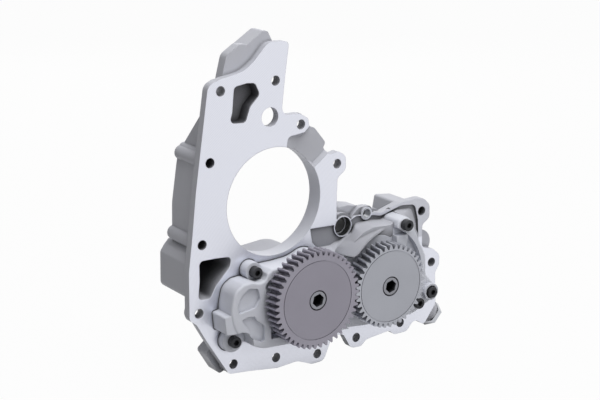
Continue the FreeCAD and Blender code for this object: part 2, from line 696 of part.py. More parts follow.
def pump_cover():
    """Casting over the rotors: ribbed on the left, with gear wells, hub bosses and screw bosses."""
    height = size("cover_height")
    base = prism("cover_block", cover_outline(), -height, height)
    radius = {"screw_upper_left": 7.9, "screw_lower_left": 15.0}
    lowered = [
        post("clear_" + name, at(name), -height - 1, f"{height + 1 - size(name + '_seat')}", f"{reach}")
        for name, reach in radius.items()
    ]
    rounded = soften("cover_rounded", base, 2.5,
                     lambda edge: lies_at(edge, -height) and edge.BoundBox.Center.x < 0)
    lug = prism("cover_lug", COVER_LUG, -height + 1.5, height - 1.5)
    blank = cut("cover_blank", fuse("cover_with_lug", [rounded, lug]), lowered)
    bosses = [
        post("ear_" + name, at(name), -size(name + "_seat"), cell(name + "_seat"), COVER_EARS[name])
        for name in ("screw_upper_left", "screw_lower_left")
    ]
    tall = size("screw_right_seat") + size("screw_head_height") - 3.5
    bosses.append(post("ear_screw_right", at("screw_right"), -tall, f"{tall}", COVER_EARS["screw_right"]))
    tools = [
        prism("upper_pocket", [
            (-52, -83, 4), (-39.6, -85, 3), (-36.8, -97, 3), (-43.5, -106.5, 3), (-64, -109.5, 2),
            (-66, -101, 5), (-61, -90, 8),
        ], -height - 1, f"1 + {cell('cover_pocket_depth')}"),
        prism("lower_pocket", [
            (-61.5, -117, 2), (-52.7, -114.8, 4), (-44.3, -115.8, 2), (-41.5, -121, 2), (-31.5, -128.8, 3),
            (-31.7, -146, 3), (-36.5, -146.8, 3), (-48.6, -139.5, 4), (-53.5, -127, 6),
        ], -height - 1, f"1 + {cell('cover_pocket_depth')}"),
        prism("small_window", [
            (-23.8, -124.5, 1.5), (-9, -125, 1.5), (-9, -146.3, 1.5), (-23.3, -146.3, 1.5),
        ], -height - 1, 15.0),
        prism("gear_recess", [
            (-2, -67.5, 2), (-15.8, -72.7, 6), (-22.4, -77.2, 6), (-28.8, -81.6, 4), (-30.5, -85.3, 2),
            (-28.9, -89.2, 2), (-28.9, -96, 2), (-10, -96, 2), (8, -76, 2),
        ], -height - 1, f"1 + {cell('gear_recess_depth')}"),
        post("right_well", INTERMEDIATE, -height - 30, f"30 + {cell('right_well_depth')}",
             cell("right_well_radius")),
    ]
    floor = cut("cover_wells", fuse("cover_solid", [blank] + bosses), tools)
    hub_front = GEAR_BACK - size("washer_thickness") - 0.1
    hubs = [
        post("hub_" + name, centre, -hub_front, f"{hub_front - 2}", cell("washer_radius") + " + 1")
        for name, centre in (("drive", DRIVE), ("intermediate", INTERMEDIATE))
    ]
    pad_foot = prism("pad_foot", [
        (148.5, -58, 0), (165, -58, 0), (165, -65, 1.5), (160, -80, 2), (148.5, -80, 0),
    ], -height, height - 2)
    body = fuse("cover_body", [floor, pad_foot] + hubs)
    bush_hole = f"{cell('shaft_radius')} + {cell('bush_wall')}"
    holes = [
        post("drive_front_hole", DRIVE, -60, "80", bush_hole),
        post("intermediate_front_hole", INTERMEDIATE, -60, "80", bush_hole),
        post("driven_front_hole", DRIVEN, -size("bush_length") - 2, "40", bush_hole),
        post("counterbore", at("screw_right"), -60, f"60 - {cell('screw_right_seat')}",
             cell("screw_head_radius") + " + 1.1"),
    ]
    holes += [
        post("hole_" + name, at(name), -60, "80", cell("screw_hole_radius")) for name in COVER_SCREWS
    ]
    holes += [
        post("socket_" + name, at(name), f"-({cell('dowel_length')}) / 2", "40", cell("dowel_radius"))
        for name in COVER_DOWELS
    ]
    return cut("pump_cover", body, holes)


# Fasteners, bushes, washers and rings

def ring(name, centre, front, length, outer, inner):
    """Round piece with a through hole, along Y."""
    body = post(name + "_body", centre, front, length, outer)
    bore = post(name + "_bore", centre, f"{front} - 1" if isinstance(front, str) else front - 1,
                f"{length} + 2", inner)
    return cut(name, body, [bore])


def group(name, members):
    """Several like pieces that share one name."""
    compound = doc.addObject("Part::Compound", name)
    compound.Links = members
    return compound


def hexagon(name, centre, front, depth, flats):
    """Hexagonal bar along Y, given across its flats."""
    bar = doc.addObject("Part::Prism", name)
    bar.Polygon = 6
    bar.Placement = Placement(Vector(centre[0], front, centre[1]), Rotation(Vector(1, 0, 0), -90))
    bar.setExpression("Circumradius", f"{flats} / sqrt(3)")
    bar.setExpression("Height", str(depth))
    return bar


def cover_screws():
    """Socket head screws of the cover."""
    screws = []
    for name in COVER_SCREWS:
        seat = size(name + "_seat")
        front = -seat - size("screw_head_height")
        head = post(name + "_head", at(name), front, cell("screw_head_height"), cell("screw_head_radius"))
        softened = soften(name + "_edge", head, 0.8, lambda edge: lies_at(edge, front))
        shank = post(name + "_shank", at(name), -seat - 0.5,
                     f"{cell(name + '_seat')} + {cell('screw_reach')} + 0.5",
                     f"{cell('screw_radius')} - {cell('seat_gap')}")
        socket = hexagon(name + "_socket", hole(name), front - 1, "5", cell("screw_socket_flats"))
        screws.append(cut(name, fuse(name + "_solid", [softened, shank]), [socket]))
    return group("cover_screws", screws)


def cover_dowels():
    """Two pins that place the cover on the flange face."""
    return group("cover_dowels", [
        post(name, at(name), f"-({cell('dowel_length')}) / 2 + 0.2", f"{cell('dowel_length')} - 0.4",
             f"{cell('dowel_radius')} - {cell('seat_gap')}")
        for name in COVER_DOWELS
    ])


def bushes():
    """Bearing bushes of the three shafts, in the cover and in the housing."""
    outer = f"{cell('shaft_radius')} + {cell('bush_wall')} - {cell('seat_gap')}"
    inner = f"{cell('shaft_radius')} + {cell('running_gap')}"
    length = cell("bush_length")
    behind = f"({pocket_depth()} + 0.5)"
    long = f"({cell('duct_depth')} - {behind})"
    places = {
        "drive_front_bush": (DRIVE, f"-{length} - 6", length), "drive_rear_bush": (DRIVE, behind, long),
        "driven_front_bush": (DRIVEN, f"-{length} - 1", length), "driven_rear_bush": (DRIVEN, behind, long),
        "intermediate_front_bush": (INTERMEDIATE, f"-{length} - 6", length),
        "intermediate_rear_bush": (INTERMEDIATE, cell("flange_thickness"), length),
    }
    return [
        ring(name, centre, front, reach, outer, inner) for name, (centre, front, reach) in places.items()
    ]


def thrust_washers():
    """Washers between the hub bosses of the cover and the gears."""
    inner = f"{cell('shaft_radius')} + 0.3"
    front = -GEAR_BACK + 0.05
    return [
        ring(name, centre, front, cell("washer_thickness"), cell("washer_radius"), inner)
        for name, centre in (("drive_thrust_washer", DRIVE), ("intermediate_thrust_washer", INTERMEDIATE))
    ]


def retaining_rings():
    """Rings in the grooves at the rear end of each shaft."""
    outer = f"{cell('shaft_radius')} + {cell('bush_wall')} - 0.3"
    inner = f"{cell('shaft_radius')} - 1 + {cell('seat_gap')}"
    return [
        ring(name, centre, front, cell("ring_thickness"), outer, inner)
        for name, (centre, front) in RING_PLACES.items()
    ]


RING_PLACES = {
    "drive_ring": (DRIVE, size("duct_depth") + 0.3),
    "driven_ring": (DRIVEN, size("duct_depth") + 0.3),
    "intermediate_ring": (INTERMEDIATE, size("flange_thickness") + size("bush_length") + 0.3),
}


def sleeves():
    """Locating sleeve of the flange, sleeve in the oil port and the press-in plugs of the galleries."""
    locating = ring("locating_sleeve", at("sleeve"), "-" + cell("sleeve_stand"), cell("sleeve_length"),
                    f"{cell('sleeve_outer_radius')} - {cell('seat_gap')}", cell("flange_hole_radius"))
    port = ring("oil_port_sleeve", at("port"), cell("port_sleeve_inset"), cell("port_sleeve_length"),
                f"{cell('port_radius')} - {cell('seat_gap')}",
                f"{cell('port_radius')} - {cell('port_sleeve_wall')}")
    return [locating, port]


# Toothed wheels

def involute(angle):
    """Involute function of a pressure angle in radians."""
    return math.tan(angle) - angle


def tooth_outline(teeth, module, addendum, pressure, backlash, root_depth, steps):
    """Half outline of one tooth as (radius, angle from the tooth's centre), from root to tip."""
    pitch = module * teeth / 2
    base = pitch * math.cos(pressure)
    root, tip = pitch - root_depth, pitch + addendum
    half = math.pi / (2 * teeth) - backlash / (4 * pitch)
    start = max(root, base)
    flank = [start + (tip - start) * step / (steps - 1) for step in range(steps)]
    points = [(radius, half + involute(pressure) - involute(math.acos(base / radius))) for radius in flank]
    if root < base:
        points.insert(0, (root, points[0][1]))
    return points


def wheel_points(teeth, tooth, phase):
    """Corner points of a whole toothed wheel about the origin, tooth after tooth."""
    points = []
    for number in range(teeth):
        centre = phase + 2 * math.pi * number / teeth
        rising = [(radius, centre - angle) for radius, angle in tooth]
        falling = [(radius, centre + angle) for radius, angle in reversed(tooth)]
        for radius, angle in rising + falling:
            points.append(Vector(radius * math.cos(angle), radius * math.sin(angle), 0))
    return points


def wheel_section(name, centre, front, points):
    """Sketch of a toothed wheel's outline at one depth."""
    sketch = vertical_sketch(name, front)
    sketch.Placement.Base = Vector(centre[0], front, centre[1])
    closed = points + points[:1]
    sketch.addGeometry([Part.LineSegment(start, end) for start, end in zip(closed, closed[1:])], False)
    return sketch


def helical_gear(name, centre, teeth, phase, hand, line):
    """Helical gear with a turned line on its face; its tooth outline turns from the front to the back."""
    helix = math.radians(size("helix_angle"))
    pressure = math.atan(math.tan(math.radians(size("pressure_angle"))) / math.cos(helix))
    module = size("gear_module")
    tooth = tooth_outline(teeth, TRANSVERSE_MODULE, module, pressure, size("gear_backlash"),
                          1.25 * module, 4)
    twist = size("gear_width") * math.tan(helix) / (TRANSVERSE_MODULE * teeth / 2)
    blank = doc.addObject("Part::Loft", name + "_teeth")
    blank.Sections = [
        wheel_section(name + "_front", centre, -size("gear_front"), wheel_points(teeth, tooth, phase)),
        wheel_section(name + "_back", centre, -GEAR_BACK, wheel_points(teeth, tooth, phase + hand * twist)),
    ]
    blank.Solid = True
    blank.Ruled = True
    bore = post(name + "_bore", centre, -size("gear_front") - 1, cell("gear_width") + " + 2",
                f"{cell('shaft_radius')} + {cell('seat_gap')}")
    chamfer = doc.addObject("Part::Cone", name + "_chamfer")
    place = Vector(centre[0], -size("gear_front") - 0.01, centre[1])
    chamfer.Placement = Placement(place, Rotation(Vector(1, 0, 0), -90))
    chamfer.setExpression("Radius1", cell("shaft_radius") + " + 1")
    chamfer.setExpression("Radius2", cell("shaft_radius"))
    chamfer.Height = 1.0
    groove = ring(name + "_line", centre, -size("gear_front") - 1, "1 + " + cell("line_depth"),
                  f"{line} + {cell('line_width')} / 2", f"{line} - {cell('line_width')} / 2")
    return cut(name, blank, [bore, chamfer, groove])


def gear_pair():
    """The two gears, in mesh at their front faces and so along their whole width."""
    line = math.radians(size("intermediate_direction"))
    drive_teeth, other_teeth = int(size("drive_teeth")), int(size("intermediate_teeth"))
    drive_phase = math.radians(size("drive_phase"))
    lead = (line - drive_phase) * drive_teeth / other_teeth
    other_phase = line + math.pi + lead + math.pi / other_teeth
    return [
        helical_gear("drive_gear", DRIVE, drive_teeth, drive_phase, -1, cell("drive_line_radius")),
        helical_gear("intermediate_gear", INTERMEDIATE, other_teeth, other_phase, 1,
                     cell("intermediate_line_radius")),
    ]


def pump_rotor(name, centre, phase):
    """Straight-toothed pump rotor between the cover and the pocket's floor."""
    teeth, module = int(size("rotor_teeth")), size("rotor_module")
    tooth = tooth_outline(teeth, module, module, math.radians(size("rotor_pressure_angle")),
                          size("rotor_backlash"), 1.15 * module, 5)
    section = wheel_section(name + "_outline", centre, size("rotor_side_gap"),
                            wheel_points(teeth, tooth, phase))
    blank = doc.addObject("Part::Extrusion", name + "_teeth")
    blank.Base = section
    blank.DirMode = "Custom"
    blank.Dir = Vector(0, 1, 0)
    blank.Solid = True
    blank.setExpression("LengthFwd", cell("rotor_length"))
    bore = post(name + "_bore", centre, -1, cell("rotor_length") + " + 4",
                f"{cell('shaft_radius')} + {cell('seat_gap')}")
    return cut(name, blank, [bore])


def rotor_pair():
    """Driving and driven rotor, a tooth of one in a gap of the other."""
    line = math.radians(size("driven_direction"))
    return [
        pump_rotor("drive_rotor", DRIVE, line),
        pump_rotor("driven_rotor", DRIVEN, line + math.pi + math.pi / size("rotor_teeth")),
    ]


def turned_shaft(name, centre, front, rear, ring_front, socket):
    """Shaft turned from its half outline, with a ring groove and, at the front, a hexagon hole."""
    body = doc.addObject("PartDesign::Body", name)
    radius = size("shaft_radius")
    groove = radius - 1.0
    edge = 0.8
    half = [
        (0, front), (radius - edge, front), (radius, front + edge), (radius, ring_front),
        (groove, ring_front), (groove, ring_front + size("ring_thickness") + 0.1),
        (radius, ring_front + size("ring_thickness") + 0.1), (radius, rear - edge),
        (radius - edge, rear), (0, rear),
    ]
    plane = next(item for item in body.Origin.OriginFeatures if item.Role == "XY_Plane")
    sketch = body.newObject("Sketcher::SketchObject", name + "_half")
    sketch.AttachmentSupport = [(plane, "")]
    sketch.MapMode = "FlatFace"
    for start, end in zip(half, half[1:] + half[:1]):
        sketch.addGeometry(Part.LineSegment(Vector(*start, 0), Vector(*end, 0)), False)
    turned = body.newObject("PartDesign::Revolution", name + "_turned")
    turned.Profile = sketch
    turned.ReferenceAxis = (sketch, ["V_Axis"])
    turned.Angle = 360.0
    if socket:
        front_plane = next(item for item in body.Origin.OriginFeatures if item.Role == "XZ_Plane")
        mouth = body.newObject("Sketcher::SketchObject", name + "_mouth")
        mouth.AttachmentSupport = [(front_plane, "")]
        mouth.MapMode = "FlatFace"
        mouth.AttachmentOffset = Placement(Vector(0, 0, -front), Rotation())
        corner = size("shaft_end_hole") * 2 / math.sqrt(3)
        corners = [Vector(*polar((0, 0), corner, 60 * number + 15), 0) for number in range(6)]
        for start, end in zip(corners, corners[1:] + corners[:1]):
            mouth.addGeometry(Part.LineSegment(start, end), False)
        pocket = body.newObject("PartDesign::Pocket", name + "_socket")
        pocket.Profile = mouth
        pocket.setExpression("Length", cell("shaft_end_depth"))
    body.Placement = Placement(Vector(centre[0], 0, centre[1]), Rotation())
    return body


def shafts():
    """Shafts of the three toothed pairs."""
    front = -size("gear_front") - 0.2
    rear = size("duct_depth") + 4.0
    return [
        turned_shaft("drive_shaft", DRIVE, front, rear, RING_PLACES["drive_ring"][1] - 0.05, True),
        turned_shaft("driven_shaft", DRIVEN, -size("bush_length") - 0.5, rear,
                     RING_PLACES["driven_ring"][1] - 0.05, False),
        turned_shaft("intermediate_shaft", INTERMEDIATE, front, RING_PLACES["intermediate_ring"][1] + 3.7,
                     RING_PLACES["intermediate_ring"][1] - 0.05, True),
    ]


# Relief valve

def on_valve_axis(kind, name, start, length, sizes):
    """Primitive on the relief valve's axis, from a distance beyond the plug's seat."""
    shape = doc.addObject(kind, name)
    shape.Placement = valve_placement(start)
    shape.setExpression("Height", str(length))
    for property_name, value in sizes.items():
        shape.setExpression(property_name, str(value))
    return shape


def coil(radius, wire, length, turns):
    """Coil spring as flat-sided sections along a helix, few enough to stay light."""
    steps = 14
    count = int(turns * steps)
    slope = math.atan2(length, 2 * math.pi * radius * turns)
    sections = []
    for number in range(count + 1):
        angle = 2 * math.pi * number / steps
        outward = Vector(math.cos(angle), math.sin(angle), 0)
        tangent = Vector(-math.sin(angle), math.cos(angle), 0)
        across = (tangent * math.cos(slope) + Vector(0, 0, math.sin(slope))).cross(outward)
        centre = outward * radius + Vector(0, 0, length * number / count)
        corners = []
        for side in range(6):
            turn = math.radians(60 * side)
            offset = outward * math.cos(turn) + across * math.sin(turn)
            corners.append(centre + offset * (wire / 2))
        sections.append(Part.makePolygon(corners + corners[:1]))
    return Part.makeLoft(sections, True, True)


def relief_valve():
    """Plug, sealing washer, spring and piston of the relief valve."""
    seal = size("seal_thickness")
    thread = size("plug_thread_length")
    head = doc.addObject("Part::Prism", "plug_head")
    head.Polygon = 6
    head.Placement = valve_placement(seal + 0.05)
    head.setExpression("Circumradius", cell("plug_flats") + " / sqrt(3)")
    head.setExpression("Height", cell("plug_head_height"))
    rounding = on_valve_axis("Part::Cone", "plug_rounding", seal - 20, "60", {})
    rounding.Radius1 = size("plug_flats") / 2 + 24.0
    rounding.Radius2 = size("plug_flats") / 2 - 6.6
    rounded = doc.addObject("Part::Common", "plug_head_rounded")
    rounded.Base, rounded.Tool = head, rounding
    stem = on_valve_axis("Part::Cylinder", "plug_stem", -thread, f"{thread} + {cell('seal_thickness')} + 1",
                         {"Radius": f"{cell('valve_radius')} - {cell('seat_gap')}"})
    plug = fuse("relief_valve_plug", [rounded, stem])
    washer_body = on_valve_axis("Part::Cylinder", "seal_body", 0.03, cell("seal_thickness"),
                                {"Radius": cell("plug_flats") + " / 2 - 0.5"})
    washer_bore = on_valve_axis("Part::Cylinder", "seal_bore", -1, "6",
                                {"Radius": f"{cell('valve_radius')} + {cell('seat_gap')}"})
    washer = cut("relief_valve_seal", washer_body, [washer_bore])

    floor = 0.3 - size("valve_depth")
    outer = on_valve_axis("Part::Cylinder", "piston_body", floor, cell("piston_length"),
                          {"Radius": f"{cell('valve_radius')} - {cell('running_gap')}"})
    inner = on_valve_axis("Part::Cylinder", "piston_hollow", floor + 4, cell("piston_length"),
                          {"Radius": f"{cell('valve_radius')} - {cell('piston_wall')} - {cell('running_gap')}"})
    piston = cut("relief_valve_piston", outer, [inner])

    wire = size("spring_wire")
    spring_radius = size("valve_radius") - size("piston_wall") - 0.5 - wire / 2
    start = floor + 4 + wire / 2 + 0.1
    length = -thread - start - wire / 2 - 0.1
    spring = doc.addObject("Part::Feature", "relief_valve_spring")
    spring.Shape = coil(spring_radius, wire, length, size("spring_turns"))
    spring.Placement = valve_placement(start)
    return [plug, washer, piston, spring]


def gallery_plugs():
    """Press-in plugs that close the drilled galleries at the rear."""
    return group("gallery_plugs", [
        post("gallery_plug_" + name, place, f"{cell(depth)} - {cell('gallery_plug_depth')} - 0.5",
             cell("gallery_plug_depth"), f"{cell('gallery_plug_radius')} - {cell('seat_gap')}")
        for name, (place, depth) in GALLERY_PLACES.items()
    ])


def write_parts(parts):
    """Check every object, then write each sub-part to its own file."""
    doc.recompute()
    for item in doc.Objects:
        if "Invalid" in item.State or "Error" in item.State:
            raise RuntimeError(f"{item.Name} failed: {item.State}")
    for part in parts:
        if part.Shape.isNull() or not part.Shape.isValid():
            raise RuntimeError(f"{part.Label} has no valid shape")
    os.makedirs("parts", exist_ok=True)
    for part in parts:
        part.Shape.exportStep(f"parts/{part.Label}.step")
        print(part.Label, len(part.Shape.Solids), round(part.Shape.Volume))


parts = [pump_housing(), pump_cover(), cover_screws(), cover_dowels(), gallery_plugs()]
parts += bushes() + thrust_washers() + retaining_rings() + sleeves()
parts += gear_pair() + rotor_pair() + shafts() + relief_valve()
write_parts(parts)
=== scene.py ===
"""Engine oil pump: finishes, softened edges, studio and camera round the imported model."""
import json
import math

import bpy
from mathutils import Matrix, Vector


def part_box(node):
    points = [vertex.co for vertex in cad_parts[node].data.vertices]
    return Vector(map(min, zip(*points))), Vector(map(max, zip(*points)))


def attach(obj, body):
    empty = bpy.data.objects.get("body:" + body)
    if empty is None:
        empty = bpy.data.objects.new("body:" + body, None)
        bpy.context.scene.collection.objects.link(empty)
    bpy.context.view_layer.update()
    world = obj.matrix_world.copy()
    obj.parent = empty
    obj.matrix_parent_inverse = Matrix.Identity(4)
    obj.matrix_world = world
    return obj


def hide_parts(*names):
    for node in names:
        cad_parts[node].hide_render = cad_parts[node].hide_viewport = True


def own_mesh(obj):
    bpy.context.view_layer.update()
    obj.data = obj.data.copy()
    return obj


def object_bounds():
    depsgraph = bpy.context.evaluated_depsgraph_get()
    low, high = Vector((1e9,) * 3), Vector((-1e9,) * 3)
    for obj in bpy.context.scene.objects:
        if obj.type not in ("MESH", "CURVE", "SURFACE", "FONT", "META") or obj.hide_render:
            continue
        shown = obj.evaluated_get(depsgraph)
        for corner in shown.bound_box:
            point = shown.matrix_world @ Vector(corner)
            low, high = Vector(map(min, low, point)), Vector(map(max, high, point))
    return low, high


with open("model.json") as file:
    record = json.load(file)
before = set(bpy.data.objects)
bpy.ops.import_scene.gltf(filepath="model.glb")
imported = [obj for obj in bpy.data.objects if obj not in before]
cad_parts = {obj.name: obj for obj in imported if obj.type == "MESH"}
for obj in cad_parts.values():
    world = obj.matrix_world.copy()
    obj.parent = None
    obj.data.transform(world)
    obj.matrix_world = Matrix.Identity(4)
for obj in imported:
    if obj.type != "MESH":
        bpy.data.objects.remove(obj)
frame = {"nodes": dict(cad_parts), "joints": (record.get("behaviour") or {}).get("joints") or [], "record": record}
CAD_BOX = [list(corner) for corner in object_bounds()]

bl_info = {
    "name": "Engine Oil Pump",
    "version": (1, 0, 0),
    "blender": (4, 5, 0),
    "location": "View3D > Sidebar > Oil Pump",
    "description": "Finishes and studio for an engine oil pump with a helical gear pair",
    "category": "Object",
}

MM = 0.001
IMAGE_WIDTH = 600
NODES = frame["nodes"]

WHITE = (1.0, 1.0, 1.0, 1.0)

# The housing's finish changes at these places: X to the right, Y to the rear, Z up from the crank's axis
CRANK_AXIS = (0.0, 0.0, 0.0)
BORE_REACH = 61.4 * MM
# The joint face lies at depth zero
FACE_TOLERANCE = 0.4 * MM
# The ear at the upper right is to the right of this X and above this Z
CAST_EAR_LEFT = 134 * MM
CAST_EAR_BOTTOM = -75 * MM
# Cored window at the top left of the flange: middle, reach round it and depths
UPPER_WINDOW = (-37 * MM, 0.0, 113.5 * MM)
WINDOW_REACH = 24 * MM
WINDOW_MIDDLE = 9.5 * MM
WINDOW_HALF_DEPTH = 7.5 * MM
# The port is painted dark as shade from this depth on
PORT_REACH = 11.2 * MM
PORT_START = 2 * MM
# Floor of the recess beside the crank bore, and its top
RECESS_FLOOR = 3 * MM
RECESS_TOLERANCE = 0.3 * MM
RECESS_TOP = -20 * MM
# Painted shade round the second gear's axis: it fades between two radii and stays in front of a depth
GEAR_SHADE_INNER = 52 * MM
GEAR_SHADE_OUTER = 62 * MM
GEAR_SHADE_BACK = -4 * MM

# Radii of the fine lines and of the shaft's seat on the gears' sides, and how deep the painted shade reaches into
# the teeth
DRIVE_LINE = 44.8 * MM
SECOND_LINE = 41.6 * MM
SHAFT_SEAT = 11.1 * MM
TOOTH_REACH = 4.2 * MM
TURNING_PITCH = 0.9 * MM

# A ring wave repeats after this length at scale one
WAVE_LENGTH = 0.314
LAMP_TARGET = (0.05, 0.0, 0.0)


def named(items, name):
    """Record entry of that name."""
    return next(item for item in items if item["name"] == name)


def joint_place(name):
    """Point on a joint's axis, in the row frame."""
    return Vector(named(frame["joints"], name)["pos_m"])


def mount_place(name):
    """Point on a mount's axis, in the row frame."""
    return Vector(named(frame["record"]["mounts"], name)["pos_m"])


def tip_radius(node):
    """Radius of a packed gear over its teeth."""
    low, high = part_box(node)
    return (high[0] - low[0]) / 2


def linear(hex_colour):
    """Linear RGBA of an sRGB hex value such as #A0A2A4."""
    channels = [int(hex_colour[start:start + 2], 16) / 255 for start in (1, 3, 5)]
    return [c / 12.92 if c <= 0.04045 else ((c + 0.055) / 1.055) ** 2.4 for c in channels] + [1.0]


# Sizes and colours that a user may change

def hex_property(name, default, description):
    """Text property for an sRGB hex colour."""
    return bpy.props.StringProperty(name=name, default=default, description=description, maxlen=7)


def length_property(name, default, least, description):
    """Number property for a length."""
    return bpy.props.FloatProperty(
        name=name, default=default, min=least, unit="LENGTH", description=description)


def light_property(name, default, description):
    """Number property for a lamp's watts or the world's strength."""
    return bpy.props.FloatProperty(name=name, default=default, min=0.0, description=description)


class PumpFinish(bpy.types.PropertyGroup):
    """Colours of the metals."""

    milled: hex_property("Milled aluminium", "#ECEEF8", "Milled joint face of the housing")
    cast: hex_property("Cast aluminium", "#B0B1B8", "Cast skin of the housing")
    cover: hex_property("Cover casting", "#C6C8D0", "Blasted skin of the cover")
    drive_gear: hex_property("Drive gear", "#97949F", "Ground side of the drive gear")
    second_gear: hex_property("Second gear", "#AEB0B8", "Ground side of the second gear")
    black_oxide: hex_property("Black oxide", "#101014", "Cover screws")
    zinc: hex_property("Bright zinc", "#C8CAD0", "Plugs of the relief valve and the galleries")
    bronze: hex_property("Bearing bronze", "#A07A4A", "Bushes")
    steel: hex_property("Ground steel", "#A9ABB1", "Washers, dowels and the valve's piston")
    shaft: hex_property("Faced steel", "#96979E", "Shafts")


class PumpSurface(bpy.types.PropertyGroup):
    """Sizes of edges and surface grain."""

    housing_edge: length_property("Housing edge", 1.2 * MM, 0.0, "Rounding of the housing's edges")
    cover_edge: length_property("Cover edge", 1.2 * MM, 0.0, "Rounding of the cover's edges")
    cast_grain: length_property("Cast grain", 0.9 * MM, 0.0001, "Grain of the cast skin")
    tool_pitch: length_property("Cutter pitch", 1.6 * MM, 0.0001, "Distance of the cutter's arcs")


class PumpStudio(bpy.types.PropertyGroup):
    """Camera, lamps and floor."""

    camera_place: bpy.props.FloatVectorProperty(
        name="Camera place", default=(-0.83784, -1.27836, 0.42428), subtype="TRANSLATION",
        description="Place of the camera")
    azimuth: bpy.props.FloatProperty(
        name="Azimuth", default=math.radians(-34.29), subtype="ANGLE",
        description="Camera's turn round the part")
    elevation: bpy.props.FloatProperty(
        name="Elevation", default=math.radians(15.45), subtype="ANGLE", description="Camera's height angle")
    focal_pixels: bpy.props.FloatProperty(
        name="Focal length in pixels", default=1452.0, min=1.0, description="Focal length in image pixels")
    floor_size: length_property("Floor", 14.0, 1.0, "Side of the square floor")
    key_power: light_property("Key lamp", 20.0, "Watts from above")
    front_power: light_property("Front lamp", 2.0, "Watts from the front")
    side_power: light_property("Side lamp", 0.2, "Watts from the left")
    rear_power: light_property("Rear lamp", 18.0, "Watts from behind")
    world: light_property("World", 0.11, "Strength of the world's light")


def sizes():
    """The three property groups of the scene."""
    scene = bpy.context.scene
    return scene.pump_finish, scene.pump_surface, scene.pump_studio


# Shader helpers

def add(tree, kind, inputs=None, **settings):
    """Node of a kind with its settings; an input is a value or a socket to link."""
    item = tree.nodes.new(kind)
    for name, value in settings.items():
        setattr(item, name, value)
    for name, value in (inputs or {}).items():
        if isinstance(value, bpy.types.NodeSocket):
            tree.links.new(value, item.inputs[name])
        else:
            item.inputs[name].default_value = value
    return item


def metal(name, metallic, roughness):
    """New material with a principled shader; returns material, tree and shader."""
    material = bpy.data.materials.new(name)
    material.use_nodes = True
    tree = material.node_tree
    shader = tree.nodes["Principled BSDF"]
    shader.inputs["Metallic"].default_value = metallic
    shader.inputs["Roughness"].default_value = roughness
    return material, tree, shader


def maths(tree, operation, first, second=0.0, third=0.0):
    """Result socket of one calculation."""
    return add(tree, "ShaderNodeMath", {0: first, 1: second, 2: third}, operation=operation).outputs[0]


def both(tree, first, second):
    """One where both masks are one."""
    return maths(tree, "MULTIPLY", first, second)


def ramp(tree, value, start, end, low, high):
    """Value that goes from low to high while its source goes from start to end, and stays there."""
    return add(tree, "ShaderNodeMapRange", {0: value, 1: start, 2: end, 3: low, 4: high}).outputs[0]


def split_axes(tree, vector):
    """The three components of a vector socket."""
    return add(tree, "ShaderNodeSeparateXYZ", {0: vector}).outputs


def blend_colours(tree, factor, first, second):
    """Mixed colour of two colours or colour sockets."""
    mixed = add(tree, "ShaderNodeMix", {0: factor, 6: first, 7: second}, data_type="RGBA")
    return mixed.outputs[2]


def grain(tree, place, size, detail=3.0):
    """Even noise whose spots have about that size in metres."""
    inputs = {"Vector": place, "Scale": 1 / size, "Detail": detail}
    return add(tree, "ShaderNodeTexNoise", inputs).outputs["Fac"]


def shade(hex_colour, factor):
    """Linear colour made darker or lighter by a factor."""
    return [channel * factor for channel in linear(hex_colour)[:3]] + [1.0]


def occlusion_shade(tree, reach, darkest, closed=0.3, clear=0.95):
    """Factor of painted shade: one where nothing stands near the surface, down to a least value in corners,
    pockets and holes.
    """
    free = add(tree, "ShaderNodeAmbientOcclusion", {"Distance": reach}, samples=8).outputs["AO"]
    return ramp(tree, free, closed, clear, darkest, 1.0)


def edge_highlight(tree, amount, reach=1.6 * MM):
    """Up to the amount on outer edges, where a highlight is painted, and zero elsewhere."""
    inputs = {"Distance": reach}
    hidden = add(tree, "ShaderNodeAmbientOcclusion", inputs, samples=8, inside=True).outputs["AO"]
    return ramp(tree, hidden, 0.05, 0.5, 0.0, amount)


def scaled(tree, colour, factor):
    """Colour made darker by a factor socket."""
    flat = add(tree, "ShaderNodeCombineColor", {0: factor, 1: factor, 2: factor}).outputs[0]
    inputs = {0: 1.0, 6: colour, 7: flat}
    return add(tree, "ShaderNodeMix", inputs, data_type="RGBA", blend_type="MULTIPLY").outputs[2]


def rounded_normal(tree, radius):
    """Normal that turns softly over the edges, as the rounding of a casting does."""
    return add(tree, "ShaderNodeBevel", {"Radius": radius}, samples=6).outputs[0]


def near(tree, value, target, width):
    """One where a value lies within a width of its target."""
    return maths(tree, "COMPARE", value, target, width)


def faces_front(tree, coordinates, limit=-0.9):
    """One on faces that look to the front of the pump."""
    _, to_rear, _ = split_axes(tree, coordinates.outputs["Normal"])
    return maths(tree, "LESS_THAN", to_rear, limit)


def circle_distance(tree, place, centre):
    """Distance of the shaded point from an axis along Y through a centre."""
    flat = add(tree, "ShaderNodeVectorMath", {0: place, 1: (1.0, 0.0, 1.0)}, operation="MULTIPLY")
    ends = {0: flat.outputs[0], 1: (centre[0], 0.0, centre[2])}
    return add(tree, "ShaderNodeVectorMath", ends, operation="DISTANCE").outputs["Value"]


def within(tree, place, centre, reach):
    """One within a reach of an axis along Y through a centre."""
    return maths(tree, "LESS_THAN", circle_distance(tree, place, centre), reach)


def connect(tree, shader, **sockets):
    """Link sockets to the shader's inputs of those names."""
    for name, socket in sockets.items():
        tree.links.new(socket, shader.inputs[name.replace("_", " ")])


def bump(tree, height, strength, depth, **normal):
    """Normal of a surface whose relief has that depth."""
    inputs = {"Strength": strength, "Distance": depth, "Height": height, **normal}
    return add(tree, "ShaderNodeBump", inputs).outputs[0]


# Materials

